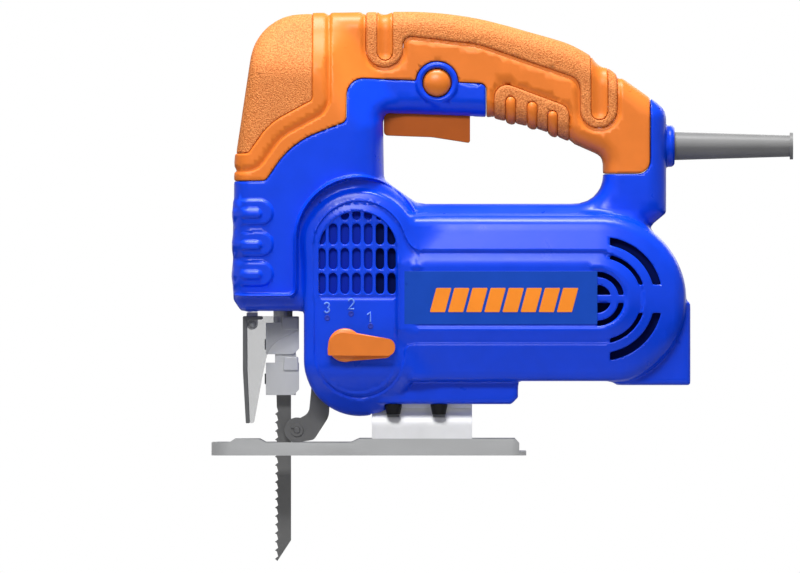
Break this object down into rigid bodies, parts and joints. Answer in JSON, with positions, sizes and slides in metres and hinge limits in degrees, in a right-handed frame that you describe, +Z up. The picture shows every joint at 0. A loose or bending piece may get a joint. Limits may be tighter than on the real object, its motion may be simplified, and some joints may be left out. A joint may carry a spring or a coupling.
{
  "type": "jigsaw power tool",
  "caption": "Corded orbital jigsaw with a closed D handle, a toothed blade in a sliding plunger, a roller blade guide, a clear chip guard and a tilting steel shoe.",
  "frame": {"origin": "where the blade's centreline crosses the sole of the shoe, on the tool's mid-plane", "axes": "+X from the blade towards the cord, +Y across the tool away from the selector lever, +Z up from the sole towards the handle"},
  "size_m": [0.2731, 0.076, 0.2581],
  "materials": {
    "shell_blue": "fine satin mould texture",
    "grip_orange": "soft-touch, matte",
    "control_orange": "satin gloss",
    "label_blue": "printed label, satin",
    "black_plastic": "matte",
    "grey_plastic": "satin",
    "clear_plastic": "clear moulding",
    "pressed_steel": "zinc plated, satin",
    "machined_steel": "ground",
    "dark_steel": "phosphated",
    "black_screw": "black oxide",
    "die_cast": "as cast",
    "sintered_bronze": "dry bearing bronze",
    "copper": "enamelled copper",
    "carbon": "graphite",
    "spring_steel": "bright wire",
    "yellow_film": "film capacitor case"
  },
  "bodies": {
    "housing": {"housing_left": "shell_blue", "housing_right": "shell_blue", "grip_left": "grip_orange", "grip_right": "grip_orange", "housing_screws": "black_screw", "nameplate_left": "label_blue", "nameplate_right": "label_blue", "air_baffle": "shell_blue", "gear_case": "die_cast", "gear_axle": "machined_steel", "guide_trunnions": "machined_steel", "arm_pivot_pin": "machined_steel", "stator_core": "machined_steel", "field_coils": "copper", "front_bearing": "machined_steel", "rear_bearing": "machined_steel", "brush_holders": "sintered_bronze", "carbon_brushes": "carbon", "switch_body": "black_plastic", "suppressor": "yellow_film", "trigger_spring": "spring_steel", "lock_spring": "spring_steel", "cord_guard": "grey_plastic", "cord_clamp": "black_plastic", "dust_sleeve": "black_plastic", "tilt_seat": "die_cast", "foot_screws": "black_screw", "tilt_clamp_plate": "pressed_steel", "tilt_clamp_bolts": "black_screw"},
    "armature": {"armature_shaft": "machined_steel", "armature_core": "machined_steel", "armature_windings": "copper", "commutator": "copper", "fan": "black_plastic"},
    "crank": {"drive_gear": "machined_steel", "counterweight": "machined_steel", "crank_pin": "machined_steel", "crank_roller": "machined_steel"},
    "guide": {"plunger_guide": "die_cast", "upper_bushing": "sintered_bronze", "lower_bushing": "sintered_bronze"},
    "plunger": {"plunger": "machined_steel", "yoke": "dark_steel", "blade_clamp": "dark_steel", "clamp_jaws": "dark_steel", "clamp_screws": "black_screw", "blade": "dark_steel"},
    "roller_arm": {"roller_arm": "dark_steel", "roller_pin": "machined_steel", "pin_clips": "black_screw"},
    "guide_roller": {"guide_roller": "dark_steel"},
    "selector": {"selector_lever": "control_orange", "selector_shaft": "machined_steel"},
    "trigger": {"trigger": "control_orange"},
    "lock_button": {"lock_button": "control_orange"},
    "chip_guard": {"chip_guard": "clear_plastic"},
    "shoe": {"shoe_plate": "pressed_steel", "shoe_saddle": "die_cast"}
  },
  "joints": [
    {"name": "armature_spin", "type": "hinge", "parent": "housing", "child": "armature", "pos_m": [0.1, 0, 0.0729], "axis": [1, 0, 0], "continuous": true},
    {"name": "gear_spin", "type": "hinge", "parent": "housing", "child": "crank", "pos_m": [0.024, 0, 0.0985], "axis": [1, 0, 0], "continuous": true},
    {"name": "guide_tilt", "type": "hinge", "parent": "housing", "child": "guide", "pos_m": [0, 0, 0.133], "axis": [0, 1, 0], "range_deg": [0, 0.7]},
    {"name": "plunger_stroke", "type": "slide", "parent": "guide", "child": "plunger", "axis": [0, 0, 1], "range_m": [-0.009, 0.009]},
    {"name": "roller_swing", "type": "hinge", "parent": "housing", "child": "roller_arm", "pos_m": [0.02, 0, 0.058], "axis": [0, 1, 0], "range_deg": [0, 1.84]},
    {"name": "roller_spin", "type": "hinge", "parent": "roller_arm", "child": "guide_roller", "pos_m": [0.0066, 0, 0.01175], "axis": [0, 1, 0], "continuous": true},
    {"name": "selector_turn", "type": "hinge", "parent": "housing", "child": "selector", "pos_m": [0.0292, 0, 0.0517], "axis": [0, -1, 0], "range_deg": [0, 121]},
    {"name": "trigger_press", "type": "hinge", "parent": "housing", "child": "trigger", "pos_m": [0.051, 0, 0.166], "axis": [0, -1, 0], "range_deg": [0, 6], "stiffness_Nm_per_rad": 1.6, "springref_deg": -3.44, "deforming": ["trigger_spring"]},
    {"name": "lock_press", "type": "slide", "parent": "housing", "child": "lock_button", "axis": [0, 1, 0], "range_m": [0, 0.003], "stiffness_N_per_m": 500, "springref_m": -0.002, "deforming": ["lock_spring"]},
    {"name": "guard_flip", "type": "hinge", "parent": "housing", "child": "chip_guard", "pos_m": [-0.0145, 0, 0.0615], "axis": [0, 1, 0], "range_deg": [0, 70]},
    {"name": "shoe_tilt", "type": "hinge", "parent": "housing", "child": "shoe", "pos_m": [0.065, 0, 0.012], "axis": [1, 0, 0], "range_deg": [-45, 45]}
  ],
  "couplings": [
    {"joint": "gear_spin", "follows": "armature_spin", "ratio": -0.14286},
    {"joint": "roller_swing", "follows": "guide_tilt", "ratio": 2.6216}
  ]
}
